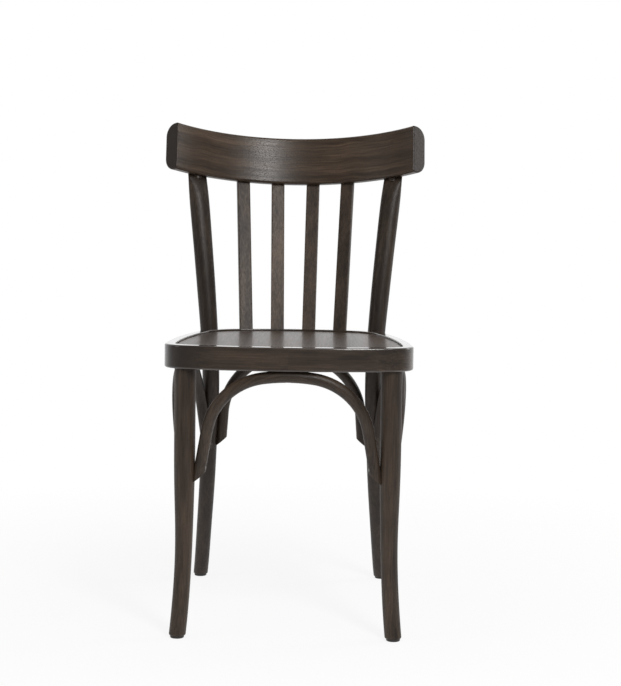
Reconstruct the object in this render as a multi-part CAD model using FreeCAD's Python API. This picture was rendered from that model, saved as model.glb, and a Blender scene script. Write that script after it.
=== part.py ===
"""Bentwood bistro chair: a bent seat ring with a plywood panel, round front legs,
bent rear posts that run from the floor to a curved crest rail, four flat back slats
and four bent arches that brace the legs against the seat ring.

Millimetres, +Z up. While it is modelled, Y = 0 is the front of the seat and the chair
faces -Y. The finished pieces are moved so that the origin is on the floor, under the
middle of the chair.
"""
import FreeCAD, Part
import math
import os

Vec = FreeCAD.Vector
UP = Vec(0, 0, 1)

# Seat ring and panel
SEAT_HEIGHT = 465.5            # floor to the top of the ring
SEAT_DEPTH = 400.0
SEAT_HALF_WIDTH = 197.0
WIDEST_FROM_FRONT = 50.0       # where the seat is widest
FRONT_RADIUS = 700.0
SIDE_RADIUS = 1080.0
REAR_RADIUS = 400.0
FRONT_CORNER_RADIUS = 45.0
REAR_CORNER_RADIUS = 90.0
RING_HEIGHT = 37.5
RING_WIDTH = 26.0
RING_ROUNDING = 3.0            # outer edges of the ring
LEDGE_WIDTH = 17.0             # flat border seen round the panel
LEDGE_ROUNDING = 1.2
PANEL_THICKNESS = 8.0
PANEL_RECESS = 3.0             # panel top below the ledge
PANEL_GAP = 0.4                # round the panel's edge
PANEL_ROUNDING = 1.0

# Front legs
LEG_SPREAD = 162.5             # half the distance between the leg centres under the ring
LEG_FROM_FRONT = 43.0
LEG_TOP_DIAMETER = 33.6
LEG_FOOT_DIAMETER = 26.8
LEG_TAPER_START = 0.26         # share of the height where the leg starts to thicken
LEG_TAPER_END = 0.7            # share of the height where it reaches its full thickness
LEG_FLARE_TOP = 0.42           # share of the height where the foot starts to flare
LEG_FLARE_OUT = 9.0
LEG_FLARE_FORWARD = 14.0
LEG_TENON_DIAMETER = 22.0
LEG_TENON_LENGTH = 22.0
FOOT_ROUNDING = 3.0

# Corner blocks behind the front corners of the ring
BLOCK_DEPTH = 32.0             # measured along the corner's diagonal
BLOCK_GAP_ABOVE = 0.5          # below the panel

# Rear posts
POST_BEARING = 44.9            # degrees round the ring's rear corner
POST_NOTCH = 4.0               # how far the ring is let into the post
POST_WAIST_DROP = 50.0         # middle of the ring down to where the posts stand closest
POST_FOOT_SPREAD = 167.0
POST_FOOT_KICK = 80.0          # behind the back of the seat
POST_FOOT_DIAMETER = 26.0
POST_SEAT_DIAMETER = 30.6
POST_TOP_WIDTH = 37.5
POST_TOP_THICKNESS = 26.0
POST_SPLAY_POWER = 1.7         # how the posts spread below the waist
POST_RISE_POWER = 1.26         # how they spread above it
POST_KICK_POWER = 1.8          # how they run back below the seat
POST_LEAN_POWER = 1.6          # how they lean back above the seat
POST_RAIL_ANGLE = 36.1         # degrees along the rail's curve
POST_TENON_DIAMETER = 16.0
POST_TENON_LENGTH = 26.0

# Crest rail
RAIL_ABOVE_SEAT = 257.2        # top of the ring to the rail's lower front edge in the middle
RAIL_BEHIND_SEAT = 55.0        # back of the seat to the same edge
RAIL_RADIUS = 280.0            # front face
RAIL_HALF_ANGLE = 47.6
RAIL_THICKNESS = 30.0
RAIL_DEPTH_OF_BOARD = 84.5     # lower edge to upper edge
RAIL_TILT = 14.7
RAIL_BACK_ROUNDING = 22.0
RAIL_FRONT_ROUNDING = 4.0
RAIL_END_ROUNDING = 2.5

# Back slats
SLAT_COUNT = 4
SLAT_WIDTH = 23.0
SLAT_THICKNESS = 10.0
SLAT_RAIL_STEP = 12.4          # degrees between slats along the rail
SLAT_RING_STEP = 8.15          # degrees between slats along the ring
SLAT_INSET = 8.5               # slat centre from the ring's outer edge
SLAT_ROUNDING = 1.6
SLAT_TENON_LENGTH = 20.0
SLAT_SHOULDER = 2.0

# Arches
ARCH_DIAMETER = 19.0
ARCH_END_HEIGHT = 246.0        # floor to the tips of the front and side arches
REAR_ARCH_END_HEIGHT = 254.0
ARCH_RING_SEATING = 0.5        # how far an arch's top is let against the ring
ARCH_LEG_SEATING = 5.0         # how far its tip is let against a front leg
ARCH_POST_SEATING = 2.5        # how far its tip is let against a rear post
ARCH_END_CUT = 40.0            # degrees of the slanting cut at each tip
FRONT_ARCH_TOP_RADIUS = 270.0
FRONT_ARCH_SHOULDER_RADIUS = 104.0
FRONT_ARCH_LEAN = 9.9          # degrees its legs lean together upwards
FRONT_ARCH_FROM_FRONT = 15.0
REAR_ARCH_TOP_RADIUS = 220.0
REAR_ARCH_SHOULDER_RADIUS = 111.0
REAR_ARCH_LEAN = 4.1
REAR_ARCH_FROM_BACK = 14.0
SIDE_ARCH_TOP_RADIUS = 300.0
SIDE_ARCH_SHOULDER_RADIUS = 104.0
SIDE_ARCH_LEAN = 8.0
SIDE_ARCH_LEG_OFFSET = 1.5     # outward of the front leg's centre
SIDE_ARCH_TILT = 7.0           # degrees its plane leans outwards

# Foot glides
GLIDE_DIAMETER = 22.0
GLIDE_HEIGHT = 3.5
GLIDE_ROUNDING = 1.5
NAIL_DIAMETER = 3.0
NAIL_LENGTH = 14.0

# Screws
SCREW_DIAMETER = 4.0
SCREW_LENGTH = 36.0
SCREW_HEAD_DIAMETER = 8.0
SCREW_HEAD_HEIGHT = 2.6
SCREW_HEAD_SUNK = 0.6          # head below the rod's surface
SCREW_ABOVE_TIP = 26.0         # end screw above an arch's tip
RING_SCREW_LENGTH = 32.0
POST_SCREW_DIAMETER = 8.0
POST_SCREW_DEPTH = 17.0        # thread length in the post
POST_SCREW_HEAD_WIDTH = 13.0   # across flats
POST_SCREW_HEAD_HEIGHT = 5.3
WASHER_DIAMETER = 16.0
WASHER_THICKNESS = 1.6
SPOTFACE_DEPTH = 0.6

# Fits
JOINT_PLAY = 0.1               # round tenons, shanks and heads, on the radius
MORTISE_PLAY = 0.5             # beyond the end of a tenon or a screw
TENON_ROOT = 6.0               # how deep a tenon is rooted in its own piece

# How finely the lofted pieces are cut into sections
LEG_SECTIONS = 9
POST_SECTIONS_BELOW = 6
POST_SECTIONS_ABOVE = 5

# Worked out from the sizes above
RING_BOTTOM = SEAT_HEIGHT - RING_HEIGHT
RING_MIDDLE = SEAT_HEIGHT - RING_HEIGHT / 2
PANEL_TOP = SEAT_HEIGHT - PANEL_RECESS
PANEL_SEAT = PANEL_TOP - PANEL_THICKNESS
ARCH_RADIUS = ARCH_DIAMETER / 2
ARCH_TOP_HEIGHT = RING_BOTTOM - ARCH_RADIUS + ARCH_RING_SEATING
RAIL_MIDDLE_RADIUS = RAIL_RADIUS + RAIL_THICKNESS / 2
RAIL_BASE_HEIGHT = SEAT_HEIGHT + RAIL_ABOVE_SEAT
RAIL_SETBACK = SEAT_DEPTH + RAIL_BEHIND_SEAT
POST_FOOT_SETBACK = SEAT_DEPTH + POST_FOOT_KICK
REACH = 2 * SEAT_DEPTH         # longer than the seat, for cutting tools
SAME = 0.01                    # lengths and angles closer than this count as equal


# Small geometry helpers

def circle_crossing(centre_a, radius_a, centre_b, radius_b, side):
    """Crossing point of two circles in plan; side picks one of the two points."""
    gap = centre_b - centre_a
    distance = gap.Length
    along = (radius_a ** 2 - radius_b ** 2 + distance ** 2) / (2 * distance)
    across = math.sqrt(radius_a ** 2 - along ** 2)
    direction = gap.normalize()
    normal = Vec(-direction.y, direction.x, 0)
    return centre_a + direction * along + normal * (across * side)


def toward(origin, target, distance):
    """Point at a distance from origin in the direction of target."""
    step = target - origin
    return origin + step.normalize() * distance


def mirrored(shape):
    """The same piece on the other side of the chair."""
    return shape.mirror(Vec(0, 0, 0), Vec(1, 0, 0))


def cylinder(base, direction, diameter, length):
    return Part.makeCylinder(diameter / 2, length, base, direction)


def loft(sections):
    """Smooth solid through closed wires."""
    return Part.makeLoft(sections, True, False)


def round_section(x, y, z, width, depth, turn):
    """Ellipse in a level plane, turned about its middle, its width along X before the turn."""
    if width - depth > SAME:
        curve = Part.Ellipse(Vec(0, 0, 0), width / 2, depth / 2)
    else:
        curve = Part.Circle(Vec(0, 0, 0), UP, width / 2)
    wire = Part.Wire([curve.toShape()])
    wire.Placement = FreeCAD.Placement(Vec(x, y, z), FreeCAD.Rotation(UP, turn))
    return wire


def oriented(shape, origin, x_axis, y_axis, z_axis):
    """Moves a shape from its own axes to the given ones."""
    matrix = FreeCAD.Matrix(
        x_axis.x, y_axis.x, z_axis.x, origin.x,
        x_axis.y, y_axis.y, z_axis.y, origin.y,
        x_axis.z, y_axis.z, z_axis.z, origin.z,
        0, 0, 0, 1)
    moved = shape.copy()
    moved.transformShape(matrix)
    return moved


# Seat outline: six arcs that run into each other without a corner

def outline_centres():
    """Centres and radii of the arcs on the right half of the outline."""
    front = (Vec(0, FRONT_RADIUS, 0), FRONT_RADIUS)
    side = (Vec(SEAT_HALF_WIDTH - SIDE_RADIUS, WIDEST_FROM_FRONT, 0), SIDE_RADIUS)
    rear = (Vec(0, SEAT_DEPTH - REAR_RADIUS, 0), REAR_RADIUS)
    front_corner = circle_crossing(
        side[0], SIDE_RADIUS - FRONT_CORNER_RADIUS,
        front[0], FRONT_RADIUS - FRONT_CORNER_RADIUS, -1)
    rear_corner = circle_crossing(
        side[0], SIDE_RADIUS - REAR_CORNER_RADIUS,
        rear[0], REAR_RADIUS - REAR_CORNER_RADIUS, 1)
    return front, side, rear, front_corner, rear_corner


def seat_outline(inset, z):
    """Closed outline of the seat, drawn in from the outer edge by the inset."""
    front, side, rear, front_corner, rear_corner = outline_centres()
    front_join = toward(front[0], front_corner, front[1] - inset)
    side_low = toward(side[0], front_corner, side[1] - inset)
    side_high = toward(side[0], rear_corner, side[1] - inset)
    rear_join = toward(rear[0], rear_corner, rear[1] - inset)

    front_middle = Vec(0, inset, 0)
    rear_middle = Vec(0, SEAT_DEPTH - inset, 0)
    front_corner_middle = toward(
        front_corner, (front_join + side_low) * 0.5, FRONT_CORNER_RADIUS - inset)
    side_middle = toward(side[0], (side_low + side_high) * 0.5, side[1] - inset)
    rear_corner_middle = toward(
        rear_corner, (side_high + rear_join) * 0.5, REAR_CORNER_RADIUS - inset)

    right = [
        (front_join, front_corner_middle, side_low),
        (side_low, side_middle, side_high),
        (side_high, rear_corner_middle, rear_join),
    ]
    left = [(flip(c), flip(b), flip(a)) for a, b, c in reversed(right)]
    rear_arc = (rear_join, rear_middle, flip(rear_join))
    front_arc = (flip(front_join), front_middle, front_join)
    arcs = right + [rear_arc] + left + [front_arc]
    lift = Vec(0, 0, z)
    edges = [Part.Arc(a + lift, b + lift, c + lift).toShape() for a, b, c in arcs]
    return Part.Wire(edges)


def flip(point):
    return Vec(-point.x, point.y, point.z)


def seat_slab(inset, bottom, top):
    """Solid with the seat's outline between two heights."""
    return Part.Face(seat_outline(inset, bottom)).extrude(Vec(0, 0, top - bottom))


def level_edges(shape, height, inset):
    """Edges of the outline with a given inset that lie at one height."""
    wanted = seat_outline(inset, height)
    found = []
    for edge in shape.Edges:
        middle = edge.valueAt((edge.FirstParameter + edge.LastParameter) / 2)
        at_height = abs(middle.z - height) < SAME
        if at_height and wanted.distToShape(Part.Vertex(middle))[0] < SAME:
            found.append(edge)
    return found


# Axes of the legs and posts

def leg_axis(z):
    """Centre of the right front leg at a height."""
    share = z / RING_BOTTOM
    flare = max(0.0, 1 - share / LEG_FLARE_TOP) ** 2
    return Vec(LEG_SPREAD + LEG_FLARE_OUT * flare, LEG_FROM_FRONT - LEG_FLARE_FORWARD * flare, z)


def leg_diameter(z):
    """Thin and even near the foot, then fuller towards the seat."""
    share = (z / RING_BOTTOM - LEG_TAPER_START) / (LEG_TAPER_END - LEG_TAPER_START)
    share = min(1.0, max(0.0, share))
    swell = share * share * (3 - 2 * share)
    return LEG_FOOT_DIAMETER + (LEG_TOP_DIAMETER - LEG_FOOT_DIAMETER) * swell


def post_at_seat():
    """Centre of the right rear post at the middle of the ring, with the ring let in."""
    corner = outline_centres()[4]
    reach = REAR_CORNER_RADIUS + POST_SEAT_DIAMETER / 2 - POST_NOTCH
    return corner + bearing_vector() * reach + Vec(0, 0, RING_MIDDLE)


def bearing_vector():
    """Level direction from the ring's right rear corner to the post."""
    angle = math.radians(POST_BEARING)
    return Vec(math.cos(angle), math.sin(angle), 0)


def post_at_rail():
    """Centre of the right rear post at the rail's underside."""
    return rail_point(POST_RAIL_ANGLE, RAIL_MIDDLE_RADIUS, 0)


def post_waist():
    """Height where the posts stand closest, and half the distance between them there."""
    seat = post_at_seat()
    top = post_at_rail()
    height = seat.z - POST_WAIST_DROP
    spread = (POST_WAIST_DROP / (top.z - height)) ** POST_RISE_POWER
    return height, (seat.x - top.x * spread) / (1 - spread)


def post_spread(z):
    """Half the distance between the posts' centres at a height."""
    height, waist = post_waist()
    if z < height:
        return waist + (POST_FOOT_SPREAD - waist) * (1 - z / height) ** POST_SPLAY_POWER
    top = post_at_rail()
    return waist + (top.x - waist) * ((z - height) / (top.z - height)) ** POST_RISE_POWER


def post_setback(z):
    """How far behind the seat's front the posts' centres stand at a height."""
    seat = post_at_seat()
    if z < seat.z:
        return seat.y + (POST_FOOT_SETBACK - seat.y) * (1 - z / seat.z) ** POST_KICK_POWER
    top = post_at_rail()
    return seat.y + (top.y - seat.y) * ((z - seat.z) / (top.z - seat.z)) ** POST_LEAN_POWER


def post_axis(z):
    """Centre of the right rear post at a height."""
    return Vec(post_spread(z), post_setback(z), z)


def post_diameter(z):
    """Diameter below the seat, where the post is round."""
    share = min(1.0, z / RING_MIDDLE)
    return POST_FOOT_DIAMETER + (POST_SEAT_DIAMETER - POST_FOOT_DIAMETER) * share


# Crest rail frame

def rail_axes():
    """The rail's own origin and axes: X across the chair, Y back, Z up its face."""
    tilt = math.radians(RAIL_TILT)
    origin = Vec(0, RAIL_SETBACK, RAIL_BASE_HEIGHT)
    back = Vec(0, math.cos(tilt), -math.sin(tilt))
    up = Vec(0, math.sin(tilt), math.cos(tilt))
    return origin, Vec(1, 0, 0), back, up


def rail_point(angle, radius, height):
    """Point in the rail by its angle from the middle, its radius and its height."""
    origin, across, back, up = rail_axes()
    turn = math.radians(angle)
    x = radius * math.sin(turn)
    y = radius * math.cos(turn) - RAIL_RADIUS
    return origin + across * x + back * y + up * height


def rail_local(shape):
    """Moves a shape drawn in the rail's own axes into place."""
    origin, across, back, up = rail_axes()
    return oriented(shape, origin, across, back, up)


def rail_blank():
    """Bent board with a flat front, a rounded back and square ends, before its mortises."""
    low = RAIL_RADIUS
    high = RAIL_RADIUS + RAIL_THICKNESS
    corners = [(low, 0), (high, 0), (high, RAIL_DEPTH_OF_BOARD), (low, RAIL_DEPTH_OF_BOARD)]
    points = [Vec(radius, 0, height) for radius, height in corners]
    start = -RAIL_HALF_ANGLE + 90
    section = Part.Face(Part.makePolygon(points + points[:1]))
    section.rotate(Vec(0, 0, 0), UP, start)
    board = section.revolve(Vec(0, 0, 0), UP, 2 * RAIL_HALF_ANGLE)
    board.translate(Vec(0, -RAIL_RADIUS, 0))
    board = board.makeFillet(RAIL_BACK_ROUNDING, long_edges(board, high))
    board = board.makeFillet(RAIL_FRONT_ROUNDING, long_edges(board, low))
    board = board.makeFillet(RAIL_END_ROUNDING, end_edges(board))
    return rail_local(board)


def long_edges(board, radius):
    """Edges of the unplaced rail that run along it at one radius."""
    axis = Vec(0, -RAIL_RADIUS, 0)
    found = []
    for edge in board.Edges:
        middle = edge.valueAt((edge.FirstParameter + edge.LastParameter) / 2)
        away = math.hypot(middle.x - axis.x, middle.y - axis.y)
        if abs(away - radius) < SAME and abs(middle.x) < 1:
            found.append(edge)
    return found


def end_edges(board):
    """Edges round the two end faces of the unplaced rail."""
    axis = Vec(0, -RAIL_RADIUS, 0)
    found = []
    for edge in board.Edges:
        ends = [vertex.Point for vertex in edge.Vertexes]
        angles = [math.degrees(math.atan2(abs(p.x - axis.x), p.y - axis.y)) for p in ends]
        if all(abs(angle - RAIL_HALF_ANGLE) < SAME for angle in angles):
            if ends[0].x * ends[-1].x > 0:
                found.append(edge)
    return found


# Arches

def arch_leg_axes(lean):
    """Directions in the arch's own plane: up its right leg, and inwards square to that."""
    angle = math.radians(lean)
    up = Vec(-math.sin(angle), 0, math.cos(angle))
    inward = Vec(-math.cos(angle), 0, -math.sin(angle))
    return up, inward


def arch_path(half_span, rise, lean, top_radius, shoulder_radius):
    """Centre line in the arch's own plane, run on below its tips, as one wire.

    Each straight leg is touched by its shoulder's arc, which lies inside the top's arc.
    """
    up, inward = arch_leg_axes(lean)
    tip = Vec(half_span, 0, 0)
    centre = Vec(0, 0, rise - top_radius)
    start = tip + inward * shoulder_radius
    offset = start - centre
    slide = offset.dot(up)
    gap = top_radius - shoulder_radius
    leg_length = math.sqrt(slide ** 2 - offset.dot(offset) + gap ** 2) - slide

    shoulder = start + up * leg_length
    spring = tip + up * leg_length
    foot = tip - up * ARCH_DIAMETER
    join = toward(centre, shoulder, top_radius)
    bend = toward(shoulder, (join + spring) * 0.5, shoulder_radius)
    edges = [
        Part.LineSegment(foot, spring).toShape(),
        Part.Arc(spring, bend, join).toShape(),
        Part.Arc(join, Vec(0, 0, rise), flip(join)).toShape(),
        Part.Arc(flip(join), flip(bend), flip(spring)).toShape(),
        Part.LineSegment(flip(spring), flip(foot)).toShape(),
    ]
    return Part.Wire(edges)


def tip_cutter(half_span):
    """Block below the slanting plane that ends the arch's right tip at its outer side."""
    size = 4 * ARCH_DIAMETER
    block = Part.makeBox(2 * size, size, size, Vec(-size, -size / 2, -size))
    block.rotate(Vec(0, 0, 0), Vec(0, 1, 0), ARCH_END_CUT)
    block.translate(Vec(half_span + ARCH_RADIUS, 0, 0))
    return block


class Arch:
    """One bent arch: where its tips stand, how its plane leans and how it is bent.

    The bend is the lean of its legs in degrees, the radius of its top and the radius of
    its shoulders.
    """

    def __init__(self, right_tip, left_tip, top, bend):
        self.middle = (right_tip + left_tip) * 0.5
        self.across = (right_tip - left_tip).normalize()
        self.half_span = (right_tip - left_tip).Length / 2
        rise = top - self.middle
        self.up = (rise - self.across * rise.dot(self.across)).normalize()
        self.out = self.up.cross(self.across)
        self.rise = rise.dot(self.up)
        self.bend = bend

    def point(self, u, v):
        return self.middle + self.across * u + self.up * v

    def rod(self):
        """Round rod along the arch's path, its tips cut on a slant that faces inwards."""
        path = arch_path(self.half_span, self.rise, *self.bend)
        end = path.OrderedVertexes[0].Point
        leg_up = arch_leg_axes(self.bend[0])[0]
        profile = Part.Wire([Part.Circle(end, leg_up, ARCH_RADIUS).toShape()])
        rod = path.makePipeShell([profile], True, False)
        cutter = tip_cutter(self.half_span)
        rod = rod.cut(cutter).cut(mirrored(cutter))
        return oriented(rod, self.middle, self.across, self.out, self.up)

    def tip_screw_places(self, carriers):
        """Head point and direction of the screw at each tip, aimed at its carrier's axis."""
        half_width = self.half_span - SCREW_ABOVE_TIP * math.tan(math.radians(self.bend[0]))
        places = []
        for side, carrier in zip((1, -1), carriers):
            centre = self.point(side * half_width, SCREW_ABOVE_TIP)
            aim = carrier(centre.z) - centre
            places.append((centre, Vec(aim.x, aim.y, 0).normalize()))
        return places

    def top_point(self):
        return self.point(0, self.rise)


def left_of(axis):
    """Axis of the same leg on the left side."""
    return lambda z: flip(axis(z))


def leg_reach(z):
    """Distance from a front leg's axis to that of an arch tip let against it."""
    return leg_diameter(z) / 2 + ARCH_RADIUS - ARCH_LEG_SEATING


def post_reach(z):
    """The same for a rear post."""
    return post_diameter(z) / 2 + ARCH_RADIUS - ARCH_POST_SEATING


def front_arch():
    tip = leg_axis(ARCH_END_HEIGHT) - Vec(leg_reach(ARCH_END_HEIGHT), 0, 0)
    top = Vec(0, FRONT_ARCH_FROM_FRONT, ARCH_TOP_HEIGHT)
    bend = (FRONT_ARCH_LEAN, FRONT_ARCH_TOP_RADIUS, FRONT_ARCH_SHOULDER_RADIUS)
    return Arch(tip, flip(tip), top, bend)


def rear_arch():
    tip = post_axis(REAR_ARCH_END_HEIGHT) - Vec(post_reach(REAR_ARCH_END_HEIGHT), 0, 0)
    top = Vec(0, SEAT_DEPTH - REAR_ARCH_FROM_BACK, ARCH_TOP_HEIGHT)
    bend = (REAR_ARCH_LEAN, REAR_ARCH_TOP_RADIUS, REAR_ARCH_SHOULDER_RADIUS)
    return Arch(tip, flip(tip), top, bend)


def side_arch():
    """The arch on the right side; its top leans outwards to lie under the ring."""
    front_tip = leg_axis(ARCH_END_HEIGHT)
    front_tip += Vec(SIDE_ARCH_LEG_OFFSET, leg_reach(ARCH_END_HEIGHT), 0)
    rear_tip = post_axis(ARCH_END_HEIGHT)
    rear_tip -= Vec(0, post_reach(ARCH_END_HEIGHT), 0)
    rise = ARCH_TOP_HEIGHT - ARCH_END_HEIGHT
    top = (front_tip + rear_tip) * 0.5
    top += Vec(rise * math.tan(math.radians(SIDE_ARCH_TILT)), 0, rise)
    bend = (SIDE_ARCH_LEAN, SIDE_ARCH_TOP_RADIUS, SIDE_ARCH_SHOULDER_RADIUS)
    return Arch(rear_tip, front_tip, top, bend)


# Screws and the holes for them

def countersunk_screw(centre, direction, length, play):
    """Wood screw whose head is sunk in a rod; with play it is the hole for that screw."""
    head_point = centre - direction * (ARCH_RADIUS - SCREW_HEAD_SUNK)
    shank_length = length + (MORTISE_PLAY if play else 0)
    shank = cylinder(head_point, direction, SCREW_DIAMETER + 2 * play, shank_length)
    head = Part.makeCone(
        SCREW_HEAD_DIAMETER / 2 + play, SCREW_DIAMETER / 2 + play, SCREW_HEAD_HEIGHT,
        head_point, direction)
    screw = shank.fuse(head)
    if play:
        well = cylinder(head_point - direction * ARCH_RADIUS, direction,
                        SCREW_HEAD_DIAMETER + 2 * play, ARCH_RADIUS)
        screw = screw.fuse(well)
    return screw.removeSplitter()


def arch_screws(arch, carriers, play):
    """The two tip screws of one arch and the screw at its top."""
    tips = [countersunk_screw(centre, direction, SCREW_LENGTH, play)
            for centre, direction in arch.tip_screw_places(carriers)]
    top = countersunk_screw(arch.top_point(), UP, RING_SCREW_LENGTH, play)
    return tips, top


def post_screw_frame():
    """Where the rear post's screw enters the ring from inside, and its direction."""
    corner = outline_centres()[4]
    height = (RING_BOTTOM + PANEL_SEAT) / 2
    outward = bearing_vector()
    seat = corner + outward * (REAR_CORNER_RADIUS - RING_WIDTH + SPOTFACE_DEPTH)
    return seat + Vec(0, 0, height), outward


def post_screw():
    """Hex head screw for the right rear post."""
    seat, outward = post_screw_frame()
    head_seat = seat - outward * WASHER_THICKNESS
    length = WASHER_THICKNESS + RING_WIDTH - SPOTFACE_DEPTH + POST_SCREW_DEPTH
    shank = cylinder(head_seat, outward, POST_SCREW_DIAMETER, length)
    across = outward.cross(UP)
    corner_radius = POST_SCREW_HEAD_WIDTH / math.sqrt(3)
    corners = []
    for step in range(6):
        angle = math.radians(60 * step)
        offset = across * math.cos(angle) + UP * math.sin(angle)
        corners.append(head_seat + offset * corner_radius)
    head = Part.Face(Part.makePolygon(corners + corners[:1]))
    head = head.extrude(outward * -POST_SCREW_HEAD_HEIGHT)
    return shank.fuse(head).removeSplitter()


def post_washer():
    seat, outward = post_screw_frame()
    base = seat - outward * WASHER_THICKNESS
    disc = cylinder(base, outward, WASHER_DIAMETER, WASHER_THICKNESS)
    bore = cylinder(base, outward, POST_SCREW_DIAMETER + 2 * JOINT_PLAY, WASHER_THICKNESS)
    return disc.cut(bore)


def post_screw_hole():
    """Clearance through the ring and the post, with the flat for the washer."""
    seat, outward = post_screw_frame()
    diameter = POST_SCREW_DIAMETER + 2 * JOINT_PLAY
    length = RING_WIDTH - SPOTFACE_DEPTH + POST_SCREW_DEPTH + MORTISE_PLAY
    bore = cylinder(seat, outward, diameter, length)
    spotface = cylinder(seat - outward * RING_WIDTH, outward,
                        WASHER_DIAMETER + 2 * JOINT_PLAY, RING_WIDTH)
    return bore.fuse(spotface)


# Tenons and their mortises

def leg_tenon(play):
    length = LEG_TENON_LENGTH + (MORTISE_PLAY if play else 0)
    base = leg_axis(RING_BOTTOM)
    return cylinder(base, UP, LEG_TENON_DIAMETER + 2 * play, length)


def post_tenon(play):
    """Round tenon along the rail's own up direction, rooted in the post below."""
    length = TENON_ROOT + POST_TENON_LENGTH + (MORTISE_PLAY if play else 0)
    base = rail_point(POST_RAIL_ANGLE, RAIL_MIDDLE_RADIUS, -TENON_ROOT)
    return cylinder(base, rail_axes()[3], POST_TENON_DIAMETER + 2 * play, length)


def slat_angles(index):
    """Angles of one slat along the rail and along the ring, from the middle."""
    place = index - (SLAT_COUNT - 1) / 2
    return place * SLAT_RAIL_STEP, place * SLAT_RING_STEP


def slat_foot(index):
    """Middle of a slat's foot on the ring."""
    angle = math.radians(slat_angles(index)[1])
    radius = REAR_RADIUS - SLAT_INSET
    centre = outline_centres()[2][0]
    return Vec(radius * math.sin(angle), centre.y + radius * math.cos(angle), SEAT_HEIGHT)


def slat_tenon_block(width, thickness, length):
    """Upright block on its own origin, its width along X."""
    return Part.makeBox(width, thickness, length, Vec(-width / 2, -thickness / 2, 0))


def slat_tenons(index, play):
    """Upper and lower tenons of one slat; with play they are the mortises."""
    rail_angle, ring_angle = slat_angles(index)
    width = SLAT_WIDTH - 2 * SLAT_SHOULDER + 2 * play
    thickness = SLAT_THICKNESS - 2 * SLAT_SHOULDER + 2 * play
    depth = SLAT_TENON_LENGTH + (MORTISE_PLAY if play else 0)

    upper = slat_tenon_block(width, thickness, depth + TENON_ROOT)
    upper.rotate(Vec(0, 0, 0), UP, -rail_angle)
    turn = math.radians(rail_angle)
    upper.translate(Vec(RAIL_MIDDLE_RADIUS * math.sin(turn),
                        RAIL_MIDDLE_RADIUS * math.cos(turn) - RAIL_RADIUS, -TENON_ROOT))
    upper = rail_local(upper)

    lower = slat_tenon_block(width, thickness, depth + TENON_ROOT)
    lower.rotate(Vec(0, 0, 0), UP, -ring_angle)
    lower.translate(slat_foot(index) - Vec(0, 0, depth))
    return upper, lower


# Pieces

def make_seat_ring():
    outer = seat_slab(0, RING_BOTTOM, SEAT_HEIGHT)
    ring = outer.cut(seat_slab(RING_WIDTH, RING_BOTTOM, SEAT_HEIGHT))
    ring = ring.cut(seat_slab(LEDGE_WIDTH, PANEL_SEAT, SEAT_HEIGHT))
    outer_edges = level_edges(ring, SEAT_HEIGHT, 0) + level_edges(ring, RING_BOTTOM, 0)
    ring = ring.makeFillet(RING_ROUNDING, outer_edges)
    ring = ring.makeFillet(LEDGE_ROUNDING, level_edges(ring, SEAT_HEIGHT, LEDGE_WIDTH))
    for tool in (leg_tenon(JOINT_PLAY), post_screw_hole()):
        ring = ring.cut(tool).cut(mirrored(tool))
    for index in range(SLAT_COUNT):
        ring = ring.cut(slat_tenons(index, JOINT_PLAY)[1])
    for arch, carriers in all_arches():
        ring = ring.cut(arch_screws(arch, carriers, JOINT_PLAY)[1])
    return ring


def make_seat_panel():
    inset = LEDGE_WIDTH + PANEL_GAP
    panel = seat_slab(inset, PANEL_SEAT, PANEL_TOP)
    return panel.makeFillet(PANEL_ROUNDING, level_edges(panel, PANEL_TOP, inset))


def leg_blank():
    """Right front leg without tenon and holes."""
    foot = GLIDE_HEIGHT
    sections = []
    for step in range(LEG_SECTIONS):
        z = foot + (RING_BOTTOM - foot) * step / (LEG_SECTIONS - 1)
        centre = leg_axis(z)
        diameter = leg_diameter(z)
        sections.append(round_section(centre.x, centre.y, z, diameter, diameter, 0))
    return rounded_foot(loft(sections))


def rounded_foot(shape):
    """Rounds the lower edge of a leg or post."""
    lowest = [edge for edge in shape.Edges if edge.BoundBox.ZMax < GLIDE_HEIGHT + 0.1]
    return shape.makeFillet(FOOT_ROUNDING, lowest)


def drilled(piece, axis):
    """A right leg or post with its holes for the glide's nail and the arches' screws."""
    piece = piece.cut(glide_nail(axis(GLIDE_HEIGHT), JOINT_PLAY))
    for arch, carriers in arches_on_right():
        for tip_screw in arch_screws(arch, carriers, JOINT_PLAY)[0]:
            piece = piece.cut(tip_screw)
    return piece


def make_front_leg():
    leg = leg_blank().fuse(leg_tenon(0)).removeSplitter()
    return drilled(leg, leg_axis)


def make_corner_block():
    """Block glued into the ring's right front corner, round the leg's tenon."""
    slab = seat_slab(RING_WIDTH, RING_BOTTOM, PANEL_SEAT - BLOCK_GAP_ABOVE)
    corner = outline_centres()[3]
    diagonal = Vec(1, -1, 0).normalize()
    edge = corner + diagonal * (FRONT_CORNER_RADIUS - RING_WIDTH - BLOCK_DEPTH)
    keep = Part.makeBox(REACH, REACH, REACH, Vec(0, -REACH / 2, 0))
    keep.rotate(Vec(0, 0, 0), UP, -45)
    keep.translate(edge)
    return slab.common(keep).cut(leg_tenon(JOINT_PLAY))


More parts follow.
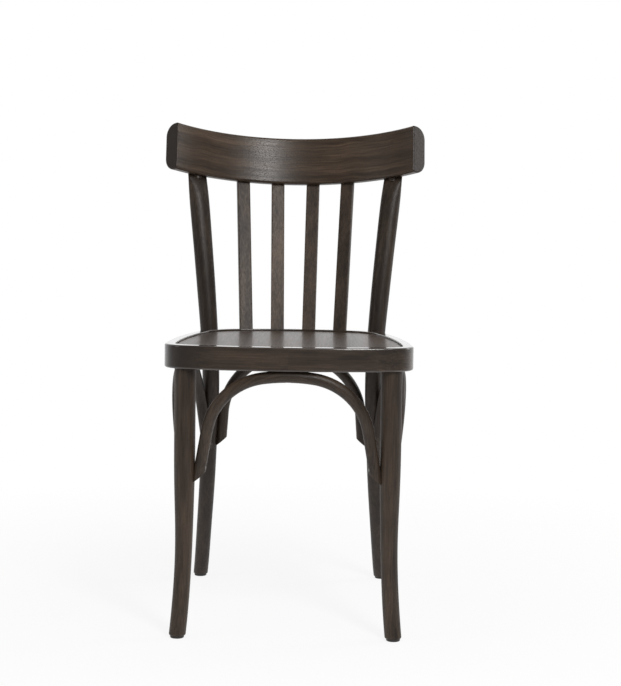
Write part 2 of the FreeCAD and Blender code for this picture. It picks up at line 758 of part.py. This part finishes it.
def post_blank():
    """Right rear post, run on into the rail; round below the seat, flattened at the top."""
    foot = GLIDE_HEIGHT
    seat = post_at_seat().z
    top = post_at_rail().z + RAIL_BACK_ROUNDING
    sections = []
    for step in range(POST_SECTIONS_BELOW):
        z = foot + (seat - foot) * step / POST_SECTIONS_BELOW
        centre = post_axis(z)
        diameter = post_diameter(z)
        sections.append(round_section(centre.x, centre.y, z, diameter, diameter, 0))
    for step in range(POST_SECTIONS_ABOVE + 1):
        share = step / POST_SECTIONS_ABOVE
        z = seat + (top - seat) * share
        centre = post_axis(z)
        width = POST_SEAT_DIAMETER + (POST_TOP_WIDTH - POST_SEAT_DIAMETER) * share
        depth = POST_SEAT_DIAMETER + (POST_TOP_THICKNESS - POST_SEAT_DIAMETER) * share
        turn = -POST_RAIL_ANGLE * share
        sections.append(round_section(centre.x, centre.y, z, width, depth, turn))
    return rounded_foot(loft(sections))


def make_rear_post(rail):
    """Post scribed under the rail, tenoned into it and notched over the seat ring."""
    post = post_blank().cut(rail)
    post = largest_solid(post).fuse(post_tenon(0)).removeSplitter()
    post = post.cut(seat_slab(0, RING_BOTTOM, SEAT_HEIGHT))
    return drilled(post.cut(post_screw_hole()), post_axis)


def largest_solid(shape):
    return max(shape.Solids, key=lambda solid: solid.Volume)


def make_crest_rail(blank):
    rail = blank
    tenon = post_tenon(JOINT_PLAY)
    rail = rail.cut(tenon).cut(mirrored(tenon))
    for index in range(SLAT_COUNT):
        rail = rail.cut(slat_tenons(index, JOINT_PLAY)[0])
    return rail


def slat_section(place, turn):
    """Level rounded rectangle at a slat's end, turned to the curve that it meets."""
    half_width = SLAT_WIDTH / 2 - SLAT_ROUNDING
    half_depth = SLAT_THICKNESS / 2 - SLAT_ROUNDING
    box = Part.makePolygon([
        Vec(-half_width, -half_depth, 0), Vec(half_width, -half_depth, 0),
        Vec(half_width, half_depth, 0), Vec(-half_width, half_depth, 0),
        Vec(-half_width, -half_depth, 0)])
    wire = box.makeOffset2D(SLAT_ROUNDING, 0)
    wire.rotate(Vec(0, 0, 0), UP, turn)
    wire.translate(place)
    return wire


def make_back_slat(index, rail):
    """Slat from the ring to the rail, turning with their curves, tenoned at both ends."""
    rail_angle, ring_angle = slat_angles(index)
    foot = slat_foot(index)
    head = rail_point(rail_angle, RAIL_MIDDLE_RADIUS, TENON_ROOT)
    ends = [slat_section(foot, -ring_angle), slat_section(head, -rail_angle)]
    slat = largest_solid(Part.makeLoft(ends, True, True).cut(rail))
    for tenon in slat_tenons(index, 0):
        slat = slat.fuse(tenon)
    return slat.removeSplitter()


def make_arch(arch, carriers, blanks):
    """Arch scribed against what it is screwed to."""
    rod = arch.rod()
    for blank in blanks:
        rod = rod.cut(blank)
    rod = largest_solid(rod)
    tips, top = arch_screws(arch, carriers, JOINT_PLAY)
    for tool in tips + [top]:
        rod = rod.cut(tool)
    return rod


def arches_on_right():
    """The arches that touch the right leg and post, with what their two tips stand on."""
    return [
        (front_arch(), (leg_axis, left_of(leg_axis))),
        (rear_arch(), (post_axis, left_of(post_axis))),
        (side_arch(), (post_axis, leg_axis)),
    ]


def all_arches():
    """Every arch; the left side arch is the mirror of the right one."""
    right = side_arch()
    rear_tip = flip(right.point(right.half_span, 0))
    front_tip = flip(right.point(-right.half_span, 0))
    left = Arch(rear_tip, front_tip, flip(right.top_point()), right.bend)
    return arches_on_right() + [(left, (left_of(post_axis), left_of(leg_axis)))]


def glide_nail(centre, play):
    length = NAIL_LENGTH + (MORTISE_PLAY if play else 0)
    return cylinder(centre, UP, NAIL_DIAMETER + 2 * play, length)


def make_glide(axis):
    """Round glide under a foot, with the nail that holds it."""
    centre = axis(GLIDE_HEIGHT)
    base = Vec(centre.x, centre.y, 0)
    disc = cylinder(base, UP, GLIDE_DIAMETER, GLIDE_HEIGHT)
    lower = [edge for edge in disc.Edges if edge.BoundBox.ZMax < 0.1]
    disc = disc.makeFillet(GLIDE_ROUNDING, lower)
    return disc.fuse(glide_nail(centre, 0)).removeSplitter()


# The whole chair

def build_chair():
    """All nodes by name, before the chair is moved onto its origin."""
    rail = rail_blank()
    ring_blank = seat_slab(0, RING_BOTTOM, SEAT_HEIGHT)
    leg = leg_blank()
    post = post_blank()
    carriers = [ring_blank, leg, mirrored(leg), post, mirrored(post)]
    front, rear, side, left_side = all_arches()

    nodes = {}
    nodes["seat_ring"] = make_seat_ring()
    nodes["seat_panel"] = make_seat_panel()
    nodes["crest_rail"] = make_crest_rail(rail)
    add_pair(nodes, "front_leg", make_front_leg())
    add_pair(nodes, "rear_post", make_rear_post(rail))
    add_pair(nodes, "corner_block", make_corner_block())
    for index in range(SLAT_COUNT):
        nodes["back_slat_%d" % (index + 1)] = make_back_slat(index, rail)
    nodes["front_arch"] = make_arch(*front, carriers)
    nodes["rear_arch"] = make_arch(*rear, carriers)
    add_pair(nodes, "side_arch", make_arch(*side, carriers))
    add_pair(nodes, "front_glide", make_glide(leg_axis))
    add_pair(nodes, "rear_glide", make_glide(post_axis))

    tip_screws = []
    ring_screws = []
    for arch, holders in (front, rear, side, left_side):
        tips, top = arch_screws(arch, holders, 0)
        tip_screws += tips
        ring_screws.append(top)
    nodes["arch_tip_screws"] = Part.makeCompound(tip_screws)
    nodes["arch_ring_screws"] = Part.makeCompound(ring_screws)
    nodes["post_screws"] = Part.makeCompound([post_screw(), mirrored(post_screw())])
    nodes["post_washers"] = Part.makeCompound([post_washer(), mirrored(post_washer())])
    return nodes


def add_pair(nodes, name, right):
    nodes[name + "_right"] = right
    nodes[name + "_left"] = mirrored(right)


def export(nodes):
    """Moves the chair onto its origin and writes one file for each node."""
    whole = Part.makeCompound(list(nodes.values())).optimalBoundingBox(False, False)
    shift = Vec(-(whole.XMin + whole.XMax) / 2, -(whole.YMin + whole.YMax) / 2, -whole.ZMin)
    os.makedirs("parts", exist_ok=True)
    for name, shape in nodes.items():
        placed = shape.copy()
        placed.translate(shift)
        placed.exportStep("parts/%s.step" % name)
    print("overall %.1f x %.1f x %.1f mm" % (whole.XLength, whole.YLength, whole.ZLength))
    print("nodes %d" % len(nodes))


export(build_chair())
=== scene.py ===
"""Looks of the bentwood bistro chair: stained beech, a lacquered seat panel, glides and
screws, with the studio light, the floor and the camera of the photograph.

Metres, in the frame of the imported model.
"""
import math

import bpy
from mathutils import Matrix, Vector


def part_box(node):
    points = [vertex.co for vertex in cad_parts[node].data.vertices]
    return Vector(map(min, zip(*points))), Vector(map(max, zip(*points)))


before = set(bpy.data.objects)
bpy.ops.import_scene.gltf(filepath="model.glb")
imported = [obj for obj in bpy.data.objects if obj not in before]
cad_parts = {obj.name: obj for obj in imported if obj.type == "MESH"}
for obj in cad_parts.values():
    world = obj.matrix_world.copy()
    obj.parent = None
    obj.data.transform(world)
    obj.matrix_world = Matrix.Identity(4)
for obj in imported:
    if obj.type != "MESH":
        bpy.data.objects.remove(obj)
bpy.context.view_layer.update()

# Camera, as fitted to the photograph
FOCAL_PIXELS = 1690.0
PICTURE_HEIGHT = 686
SENSOR_MM = 36.0
CAMERA_PLACE = Vector((0.0521, -2.8503, 0.691))
CAMERA_PITCH = math.radians(4.78)
CAMERA_YAW = math.radians(0.396)
CAMERA_ROLL = math.radians(0.8)

# Colours, linear
STAIN_DARK = (0.0150, 0.0092, 0.0058, 1)
STAIN_MIDDLE = (0.0370, 0.0242, 0.0158, 1)
STAIN_LIGHT = (0.0720, 0.0480, 0.0320, 1)
# Colour of the rail's end grain, also used as painted shade at the seat ring's left end
END_GRAIN_AND_PAINTED_SHADE = (0.0210, 0.0140, 0.0100, 1)
PANEL_DARK = (0.034, 0.021, 0.013, 1)
PANEL_LIGHT = (0.078, 0.051, 0.034, 1)
WHITE = (1, 1, 1, 1)

# Finish
LONG_STREAK = 0.045            # how far the wood's streaks are drawn out: less is longer
SHORT_STREAK = 0.16            # the same for its flecks
VENEER_STREAK = 0.05           # the same for the panel's streaks
WOOD_SPECULAR = 0.36           # level of the satin lacquer's reflection
PANEL_SPECULAR = 0.3           # the same on the panel
WOOD_RELIEF = 0.00010          # metres of bump in the grain
PANEL_RELIEF = 0.00002
RAIL_WAVE = 0.014              # metres that the rail's fibres wander
END_FADE_FROM, END_FADE_TO = 0.004, 0.002    # radians before the rail's end faces
TOP_FADE_FROM, TOP_FADE_TO = 0.0012, 0.0002  # metres below the ring's top
LEFT_SHADE_FROM, LEFT_SHADE_TO = -0.105, -0.170  # where painted shade darkens the ring's left end, along X
POLISH = 0.36                  # roughness that the polished top of the ring loses
# Painted light: the back slats are made lighter towards the left, where they face the light
SLAT_PAINTED_LIGHT = (1.4, 1.8, 1.4, 1.0)            # lighter on the left, as photographed

# Studio: the world's light on the chair, and what reflections find, both as a share of white
WORLD_LIGHT = 0.5
ROOM_FRONT, ROOM_DIM = -0.1, 0.1             # direction along Y, and its share
ROOM_BACK, ROOM_BRIGHT = 0.6, 1.0
FLOOR_PAINT = (0.9, 0.9, 0.9, 1)
FLOOR_REACH = 4.0
FLOOR_NEAR = 0.35              # distance at which the floor starts to fade
FLOOR_SHARE = 0.86             # of plain white there, the rest being painted floor
FLOOR_FADE = 1.3               # distance at which the floor has become plain white


# Node helpers

class Nodes:
    """Short names for building a material's node tree."""

    def __init__(self, owner):
        owner.use_nodes = True
        self.tree = owner.node_tree
        self.tree.nodes.clear()

    def add(self, kind, **settings):
        node = self.tree.nodes.new(kind)
        for name, value in settings.items():
            setattr(node, name, value)
        return node

    def link(self, source, target):
        self.tree.links.new(source, target)

    def feed(self, socket, value):
        """Links a socket to the input, or sets the input to a number or colour."""
        if isinstance(value, bpy.types.NodeSocket):
            self.link(value, socket)
        else:
            socket.default_value = value

    def math(self, operation, first, second=0.0, third=0.0):
        node = self.add("ShaderNodeMath", operation=operation)
        for socket, value in zip(node.inputs, (first, second, third)):
            self.feed(socket, value)
        return node.outputs[0]

    def blend(self, first, second, first_share, second_share):
        """Sum of two values, each times its share."""
        return self.math("ADD", self.math("MULTIPLY", first, first_share),
                         self.math("MULTIPLY", second, second_share))

    def distance(self, first, second):
        """Length of the vector whose two parts are given."""
        return self.math("SQRT", self.math("ADD", self.math("MULTIPLY", first, first),
                                           self.math("MULTIPLY", second, second)))

    def combine(self, x, y, z):
        node = self.add("ShaderNodeCombineXYZ")
        for socket, value in zip(node.inputs, (x, y, z)):
            self.feed(socket, value)
        return node.outputs[0]

    def place(self, kind="Object"):
        """Point on the object in its own axes, or direction in the world, as three sockets."""
        coordinates = self.add("ShaderNodeTexCoord")
        split = self.add("ShaderNodeSeparateXYZ")
        self.link(coordinates.outputs[kind], split.inputs[0])
        return split.outputs

    def noise(self, vector, scale, detail, roughness=0.5):
        node = self.add("ShaderNodeTexNoise")
        self.link(vector, node.inputs["Vector"])
        node.inputs["Scale"].default_value = scale
        node.inputs["Detail"].default_value = detail
        node.inputs["Roughness"].default_value = roughness
        return node.outputs["Fac"]

    def stretched(self, vector, place, along):
        """Moves a grain's point, and draws its pattern out along the fibres."""
        node = self.add("ShaderNodeMapping")
        self.link(vector, node.inputs["Vector"])
        node.inputs["Location"].default_value = place
        node.inputs["Scale"].default_value = (1.0, 1.0, along)
        return node.outputs[0]

    def ramp(self, value, stops):
        node = self.add("ShaderNodeValToRGB")
        self.link(value, node.inputs["Fac"])
        elements = node.color_ramp.elements
        for element, (position, colour) in zip(elements, stops):
            element.position = position
            element.color = colour
        for position, colour in stops[2:]:
            elements.new(position).color = colour
        return node.outputs["Color"]

    def spread(self, value, low, high, out_low=0.0, out_high=1.0):
        """Maps a range of values to another, clamped."""
        node = self.add("ShaderNodeMapRange")
        for socket, number in zip(node.inputs, (value, low, high, out_low, out_high)):
            self.feed(socket, number)
        return node.outputs[0]

    def mix(self, blend, factor, first, second):
        node = self.add("ShaderNodeMix", data_type="RGBA", blend_type=blend)
        self.feed(node.inputs[0], factor)
        self.feed(node.inputs[6], first)
        self.feed(node.inputs[7], second)
        return node.outputs[2]

    def surface(self, colour, roughness, height, bump, coat, coat_roughness):
        shader = self.add("ShaderNodeBsdfPrincipled")
        self.feed(shader.inputs["Base Color"], colour)
        self.feed(shader.inputs["Roughness"], roughness)
        shader.inputs["Coat Weight"].default_value = coat
        shader.inputs["Coat Roughness"].default_value = coat_roughness
        relief = self.add("ShaderNodeBump")
        relief.inputs["Strength"].default_value = 1.0
        relief.inputs["Distance"].default_value = bump
        self.link(height, relief.inputs["Height"])
        self.link(relief.outputs[0], shader.inputs["Normal"])
        output = self.add("ShaderNodeOutputMaterial")
        self.link(shader.outputs[0], output.inputs[0])
        return shader


# Grain directions: each gives a point whose Z runs along the fibres

def straight_grain(nodes):
    x, y, z = nodes.place()
    return nodes.combine(x, y, z)


def rail_place(nodes):
    """Radius, height up the board and angle round the tilted axis of the crest rail."""
    x, y, z = nodes.place()
    back = nodes.math("SUBTRACT", y, RAIL_BASE_Y)
    rise = nodes.math("SUBTRACT", z, RAIL_BASE_Z)
    across = nodes.math("SUBTRACT", nodes.math("MULTIPLY", back, math.cos(RAIL_TILT)),
                        nodes.math("MULTIPLY", rise, math.sin(RAIL_TILT)))
    height = nodes.math("ADD", nodes.math("MULTIPLY", back, math.sin(RAIL_TILT)),
                        nodes.math("MULTIPLY", rise, math.cos(RAIL_TILT)))
    behind = nodes.math("ADD", across, RAIL_RADIUS)
    return nodes.distance(x, behind), height, nodes.math("ARCTAN2", x, behind)


def rail_grain(nodes):
    """Along the bent board, with a slow wave in its fibres."""
    radius, height, angle = rail_place(nodes)
    along = nodes.math("MULTIPLY", angle, RAIL_RADIUS)
    slow = nodes.noise(nodes.combine(0.0, 0.0, along), 14.0, 1.0)
    wave = nodes.math("MULTIPLY", nodes.math("SUBTRACT", slow, 0.5), RAIL_WAVE)
    return nodes.combine(radius, nodes.math("ADD", height, wave), along)


def rail_ends(nodes):
    """One on the two end faces of the crest rail, else zero."""
    angle = rail_place(nodes)[2]
    turn = nodes.math("ABSOLUTE", angle)
    return nodes.spread(turn, RAIL_HALF_ANGLE - END_FADE_FROM, RAIL_HALF_ANGLE - END_FADE_TO)


def ring_grain(nodes):
    """Round the seat, following its outline roughly."""
    x, y, z = nodes.place()
    across = nodes.math("DIVIDE", x, RING_HALF_WIDTH)
    behind = nodes.math("DIVIDE", nodes.math("SUBTRACT", y, RING_MIDDLE_Y), RING_HALF_DEPTH)
    angle = nodes.math("ARCTAN2", across, behind)
    along = nodes.math("MULTIPLY", angle, RING_HALF_WIDTH)
    size = nodes.math("ADD", power(nodes, across, 4), power(nodes, behind, 4))
    radius = nodes.math("MULTIPLY", nodes.math("POWER", size, 0.25), RING_HALF_WIDTH)
    return nodes.combine(radius, z, along)


def ring_top(nodes):
    """One on the seat ring's flat top and the edge round it, else zero."""
    x, y, z = nodes.place()
    return nodes.spread(z, RING_TOP - TOP_FADE_FROM, RING_TOP - TOP_FADE_TO)


def ring_left_painted_shade(nodes):
    """Share of painted shade, in the end grain's colour, that comes in towards the seat ring's
    left end.
    """
    x, y, z = nodes.place()
    return nodes.spread(x, LEFT_SHADE_FROM, LEFT_SHADE_TO)


def power(nodes, value, exponent):
    return nodes.math("POWER", nodes.math("ABSOLUTE", value), exponent)


def arch_grain(across_axis, middle, depth_axis):
    """Along a bent arch: round its spring line above, straight down its legs below."""
    def coordinates(nodes):
        place = nodes.place()
        u = nodes.math("SUBTRACT", place[across_axis], middle)
        v = nodes.math("MAXIMUM", nodes.math("SUBTRACT", place[2], ARCH_SPRING), 0.0)
        down = nodes.math("MINIMUM", nodes.math("SUBTRACT", place[2], ARCH_SPRING), 0.0)
        angle = nodes.math("ARCTAN2", u, v)
        radius = nodes.distance(u, v)
        along = nodes.math("ADD", nodes.math("MULTIPLY", angle, ARCH_MEAN_RADIUS), down)
        return nodes.combine(radius, place[depth_axis], along)
    return coordinates


RAIL_RADIUS = 0.28
RAIL_HALF_ANGLE = math.radians(47.6)
RAIL_TILT = math.radians(14.7)
RAIL_BASE_Y, RAIL_BASE_Z = 0.2047, 0.7227
RING_HALF_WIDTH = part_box("seat_ring")[1][0]
RING_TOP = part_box("seat_ring")[1][2]
RING_MIDDLE_Y = (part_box("seat_ring")[0][1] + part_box("seat_ring")[1][1]) / 2
RING_HALF_DEPTH = (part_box("seat_ring")[1][1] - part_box("seat_ring")[0][1]) / 2
ARCH_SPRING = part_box("front_arch")[0][2] + 0.075
ARCH_MEAN_RADIUS = 0.13
SIDE_MIDDLE_Y = (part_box("side_arch_left")[0][1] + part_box("side_arch_left")[1][1]) / 2


# Materials

def stained_wood(name, grain, seed, tone_and_painted_light=1.0, roughness=0.44, coat=0.0,
                 dark_part=None, glossy_part=None):
    """Dark stained beech: long streaks, short dark flecks and a satin lacquer.

    The dark part gives the share of the end grain's colour at each point: real end grain on the
    rail's end faces, painted shade at the seat ring's left end. The glossy part gives the share of
    a polish.
    """
    material = bpy.data.materials.new(name)
    nodes = Nodes(material)
    point = grain(nodes)
    long_way = nodes.stretched(point, (seed * 3.1, seed * 1.7, seed * 0.9), LONG_STREAK)
    short_way = nodes.stretched(point, (seed * 1.3, seed * 2.3, seed * 0.7), SHORT_STREAK)

    bands = nodes.noise(long_way, 55.0, 3.0, 0.55)
    streaks = nodes.noise(long_way, 420.0, 3.0, 0.6)
    flecks = nodes.noise(short_way, 1500.0, 1.0)
    clouds = nodes.noise(point, 9.0, 2.0)

    tones = nodes.blend(bands, streaks, 0.55, 0.45)
    colour = nodes.ramp(tones, [(0.34, STAIN_DARK), (0.68, STAIN_LIGHT), (0.5, STAIN_MIDDLE)])
    # The tone scales the wood's colour; on the back slats it carries painted light
    patch = nodes.spread(clouds, 0.3, 0.7, 0.86 * tone_and_painted_light, 1.16 * tone_and_painted_light)
    shade = nodes.combine(patch, patch, patch)
    colour = nodes.mix("MULTIPLY", 1.0, colour, shade)
    fleck = nodes.spread(flecks, 0.60, 0.72)
    colour = nodes.mix("MIX", nodes.math("MULTIPLY", fleck, 0.55), colour, STAIN_DARK)

    # End grain on the rail's ends, painted shade at the ring's left end
    if dark_part:
        colour = nodes.mix("MIX", dark_part(nodes), colour, END_GRAIN_AND_PAINTED_SHADE)
    gloss = nodes.spread(streaks, 0.3, 0.7, roughness + 0.05, roughness - 0.04)
    if glossy_part:
        gloss = nodes.math("SUBTRACT", gloss, nodes.math("MULTIPLY", glossy_part(nodes), POLISH))
    height = nodes.math("SUBTRACT", streaks, nodes.math("MULTIPLY", fleck, 0.6))
    shader = nodes.surface(colour, gloss, height, WOOD_RELIEF, coat, 0.12)
    shader.inputs["Specular IOR Level"].default_value = WOOD_SPECULAR
    return material


def panel_veneer():
    """Lacquered plywood: veneer grain from front to back under a glossier coat."""
    material = bpy.data.materials.new("seat_panel_veneer")
    nodes = Nodes(material)
    x, y, z = nodes.place()
    point = nodes.combine(x, z, y)
    long_way = nodes.stretched(point, (0.0, 0.0, 0.0), VENEER_STREAK)
    bands = nodes.noise(long_way, 40.0, 3.0, 0.55)
    streaks = nodes.noise(long_way, 380.0, 3.0, 0.6)
    tones = nodes.blend(bands, streaks, 0.6, 0.4)
    colour = nodes.ramp(tones, [(0.35, PANEL_DARK), (0.68, PANEL_LIGHT)])
    gloss = nodes.spread(streaks, 0.3, 0.7, 0.44, 0.38)
    shader = nodes.surface(colour, gloss, streaks, PANEL_RELIEF, 0.3, 0.2)
    shader.inputs["Specular IOR Level"].default_value = PANEL_SPECULAR
    return material


def raw_wood():
    """Unpolished block under the seat."""
    return stained_wood("corner_block_wood", straight_grain, 5, 1.5, 0.6, 0.0)


def glide_plastic():
    material = bpy.data.materials.new("glide_nylon")
    nodes = Nodes(material)
    x, y, z = nodes.place()
    grains = nodes.noise(nodes.combine(x, y, z), 900.0, 2.0)
    colour = nodes.ramp(grains, [(0.3, (0.012, 0.011, 0.010, 1)), (0.7, (0.035, 0.031, 0.028, 1))])
    gloss = nodes.spread(grains, 0.3, 0.7, 0.42, 0.55)
    nodes.surface(colour, gloss, grains, 0.00005, 0.0, 0.2)
    return material


def zinc():
    """Dull, browned zinc of the screws and washers."""
    material = bpy.data.materials.new("screw_zinc")
    nodes = Nodes(material)
    x, y, z = nodes.place()
    grains = nodes.noise(nodes.combine(x, y, z), 700.0, 3.0)
    colour = nodes.ramp(grains, [(0.3, (0.060, 0.048, 0.038, 1)), (0.7, (0.14, 0.12, 0.10, 1))])
    gloss = nodes.spread(grains, 0.3, 0.7, 0.3, 0.45)
    shader = nodes.surface(colour, gloss, grains, 0.00003, 0.0, 0.2)
    shader.inputs["Metallic"].default_value = 1.0
    return material


def dress(node, material):
    """Gives every material slot of a CAD node the same material."""
    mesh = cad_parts[node].data
    for index in range(max(1, len(mesh.materials))):
        if index < len(mesh.materials):
            mesh.materials[index] = material
        else:
            mesh.materials.append(material)


def dress_all():
    for index, side in enumerate(("left", "right")):
        leg_wood = stained_wood("front_leg_wood_" + side, straight_grain, 11 + index, 1.0, 0.5)
        dress("front_leg_" + side, leg_wood)
        post_wood = stained_wood("rear_post_wood_" + side, straight_grain, 21 + index, 0.74)
        dress("rear_post_" + side, post_wood)
        side_grain = arch_grain(1, SIDE_MIDDLE_Y, 0)
        arch_wood = stained_wood("side_arch_wood_" + side, side_grain, 31 + index, 0.85)
        dress("side_arch_" + side, arch_wood)
        dress("corner_block_" + side, raw_wood())
        dress("front_glide_" + side, glide_plastic())
        dress("rear_glide_" + side, glide_plastic())
    # Painted light on the back slats, lighter on the left ones
    for index, tone_and_painted_light in enumerate(SLAT_PAINTED_LIGHT):
        name = "back_slat_%d" % (index + 1)
        dress(name, stained_wood(name + "_wood", straight_grain, 41 + index, tone_and_painted_light))
    dress("front_arch", stained_wood("front_arch_wood", arch_grain(0, 0.0, 1), 51))
    dress("rear_arch", stained_wood("rear_arch_wood", arch_grain(0, 0.0, 1), 52, 0.85))
    rail_wood = stained_wood("crest_rail_wood", rail_grain, 61, 1.4, 0.33, dark_part=rail_ends)
    dress("crest_rail", rail_wood)
    # The ring's left end gets painted shade in the end grain's colour
    dress("seat_ring", stained_wood("seat_ring_wood", ring_grain, 71, 1.0, 0.44, 1.0,
                                   ring_left_painted_shade, ring_top))
    dress("seat_panel", panel_veneer())
    for name in ("arch_tip_screws", "arch_ring_screws", "post_screws", "post_washers"):
        dress(name, zinc())


# Floor, world, light and camera

def add_floor():
    """Pale floor that keeps the chair's shadow and fades into the white backdrop."""
    mesh = bpy.data.meshes.new("studio_floor")
    corners = [(-FLOOR_REACH, -FLOOR_FADE, 0), (FLOOR_REACH, -FLOOR_FADE, 0),
               (FLOOR_REACH, FLOOR_REACH, 0), (-FLOOR_REACH, FLOOR_REACH, 0)]
    mesh.from_pydata(corners, [], [(0, 1, 2, 3)])
    floor = bpy.data.objects.new("studio_floor", mesh)
    bpy.context.scene.collection.objects.link(floor)
    material = bpy.data.materials.new("studio_floor_white")
    nodes = Nodes(material)
    x, y, z = nodes.place()
    away = nodes.distance(x, y)
    paint = nodes.add("ShaderNodeBsdfDiffuse")
    paint.inputs["Color"].default_value = FLOOR_PAINT
    light = nodes.add("ShaderNodeEmission")
    light.inputs["Color"].default_value = WHITE
    seen = seen_directly(nodes)
    faded = nodes.spread(away, FLOOR_NEAR, FLOOR_FADE, FLOOR_SHARE, 1.0)
    share = nodes.math("MULTIPLY", seen, faded)
    mixed = nodes.add("ShaderNodeMixShader")
    nodes.link(share, mixed.inputs[0])
    nodes.link(paint.outputs[0], mixed.inputs[1])
    nodes.link(light.outputs[0], mixed.inputs[2])
    output = nodes.add("ShaderNodeOutputMaterial")
    nodes.link(mixed.outputs[0], output.inputs[0])
    mesh.materials.append(material)


def seen_directly(nodes):
    """One for the camera's rays and for reflections and refractions, else zero."""
    path = nodes.add("ShaderNodeLightPath")
    seen = nodes.math("MAXIMUM", path.outputs["Is Camera Ray"], path.outputs["Is Glossy Ray"])
    return nodes.math("MAXIMUM", seen, path.outputs["Is Transmission Ray"])


def set_world():
    """White backdrop; reflections find it behind the chair and a dim room in front."""
    world = bpy.data.worlds.new("studio_world")
    bpy.context.scene.world = world
    nodes = Nodes(world)
    x, y, z = nodes.place("Generated")
    path = nodes.add("ShaderNodeLightPath")
    room = nodes.spread(y, ROOM_FRONT, ROOM_BACK, ROOM_DIM, ROOM_BRIGHT)
    mirrored = nodes.math("MAXIMUM", path.outputs["Is Glossy Ray"],
                          path.outputs["Is Transmission Ray"])
    diffuse = nodes.math("MULTIPLY", nodes.math("SUBTRACT", 1.0, mirrored), WORLD_LIGHT)
    strength = nodes.math("ADD", nodes.math("MULTIPLY", mirrored, room), diffuse)
    strength = nodes.math("MAXIMUM", strength, path.outputs["Is Camera Ray"])
    background = nodes.add("ShaderNodeBackground")
    background.inputs["Color"].default_value = WHITE
    nodes.link(strength, background.inputs["Strength"])
    output = nodes.add("ShaderNodeOutputWorld")
    nodes.link(background.outputs[0], output.inputs["Surface"])


def add_lamp(name, place, target, size, power_watts):
    lamp = bpy.data.lights.new(name, "AREA")
    lamp.shape = "RECTANGLE"
    lamp.size, lamp.size_y = size
    lamp.energy = power_watts
    holder = bpy.data.objects.new(name, lamp)
    direction = Vector(target) - Vector(place)
    turn = direction.to_track_quat("-Z", "Y").to_matrix().to_4x4()
    holder.matrix_world = Matrix.Translation(place) @ turn
    bpy.context.scene.collection.objects.link(holder)


def add_camera():
    data = bpy.data.cameras.new("photo_camera")
    data.sensor_fit = "AUTO"
    data.sensor_width = SENSOR_MM
    data.lens = FOCAL_PIXELS * SENSOR_MM / PICTURE_HEIGHT
    camera = bpy.data.objects.new("photo_camera", data)
    level = Matrix.Rotation(math.radians(90), 4, "X")
    turned = Matrix.Rotation(CAMERA_YAW, 4, "Z") @ level
    pitched = turned @ Matrix.Rotation(-CAMERA_PITCH, 4, "X")
    rolled = pitched @ Matrix.Rotation(CAMERA_ROLL, 4, "Z")
    camera.matrix_world = Matrix.Translation(CAMERA_PLACE) @ rolled
    bpy.context.scene.collection.objects.link(camera)
    bpy.context.scene.camera = camera


dress_all()
add_floor()
set_world()
add_lamp("key_light", (0.85, -2.0, 2.15), (0, 0.1, 0.55), (0.5, 1.1), 38.0)
add_lamp("side_light", (2.3, 0.75, 1.4), (0, 0, 0.5), (0.8, 1.2), 12.0)
add_lamp("fill_light", (-2.3, -1.2, 1.2), (0, 0, 0.5), (0.8, 1.2), 5.0)
add_camera()

bpy.context.scene.view_settings.view_transform = "Standard"
